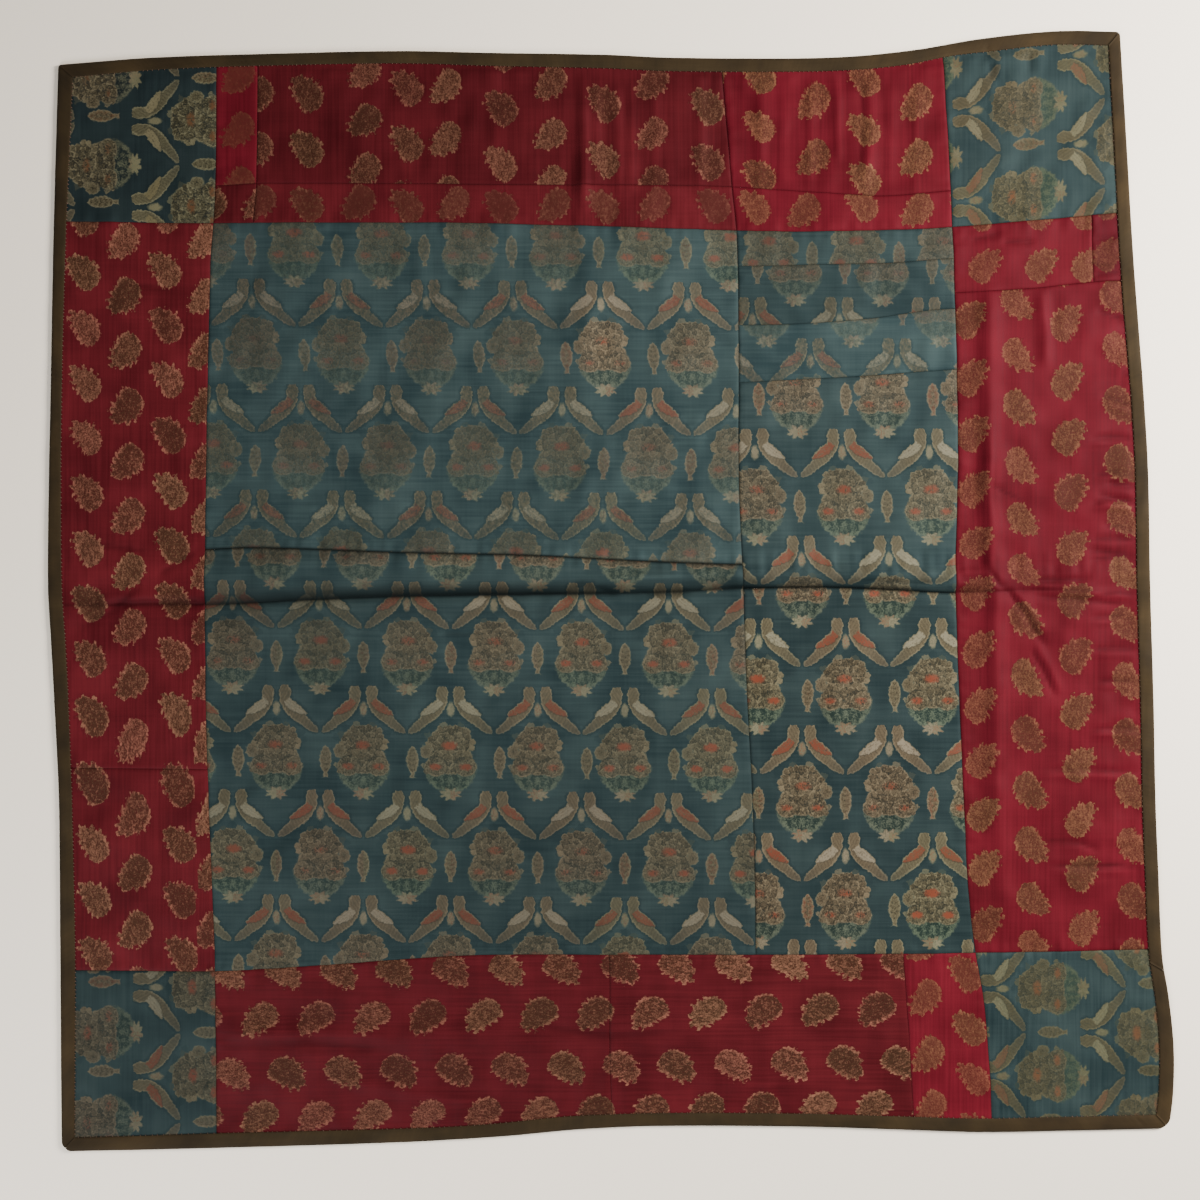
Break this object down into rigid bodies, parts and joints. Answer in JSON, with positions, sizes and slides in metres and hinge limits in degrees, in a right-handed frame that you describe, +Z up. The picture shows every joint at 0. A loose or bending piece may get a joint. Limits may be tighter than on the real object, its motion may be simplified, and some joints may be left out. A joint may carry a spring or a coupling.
{
  "type": "patchwork brocade wrapping cloth",
  "caption": "Square wrapping cloth of pieced silk brocade: a blue bird-and-flower field, red sprigged borders, blue corner squares and a folded olive tape round the edge.",
  "frame": {"origin": "on the surface that the cloth lies on, under the middle of its box", "axes": "+Z up out of the patterned face, +Y towards the border pieced from two rows, +X towards the side with the joined binding"},
  "size_m": [0.9334, 0.9288, 0.0096],
  "materials": {
    "blue_brocade": "silk brocade with woven figures, worn",
    "navy_brocade": "silk brocade with woven figures, less faded",
    "crimson_brocade": "silk brocade with woven sprigs, soft sheen",
    "rose_brocade": "silk brocade with woven sprigs, soft sheen",
    "olive_tape": "plain woven cotton tape, matt"
  },
  "bodies": {
    "root": {"corner_top_right": "blue_brocade", "corner_bottom_left": "blue_brocade", "corner_bottom_right": "blue_brocade", "field_left_upper": "blue_brocade", "field_left_lower": "blue_brocade", "field_right_strip_first": "blue_brocade", "field_right_strip_second": "blue_brocade", "field_right_strip_third": "blue_brocade", "field_right_middle": "blue_brocade", "field_right_lower": "blue_brocade", "corner_top_left": "navy_brocade", "top_small_patch": "crimson_brocade", "top_border_main": "crimson_brocade", "top_border_strip": "crimson_brocade", "left_border_upper": "crimson_brocade", "left_border_lower": "crimson_brocade", "bottom_border_left": "crimson_brocade", "bottom_border_middle": "crimson_brocade", "top_end_patch": "rose_brocade", "top_border_right": "rose_brocade", "top_border_right_strip": "rose_brocade", "right_border_head": "rose_brocade", "right_border_narrow": "rose_brocade", "right_border_main": "rose_brocade", "bottom_border_right": "rose_brocade", "binding_top": "olive_tape", "binding_left": "olive_tape", "binding_bottom": "olive_tape", "binding_right_upper": "olive_tape", "binding_right_lower": "olive_tape"}
  },
  "joints": []
}
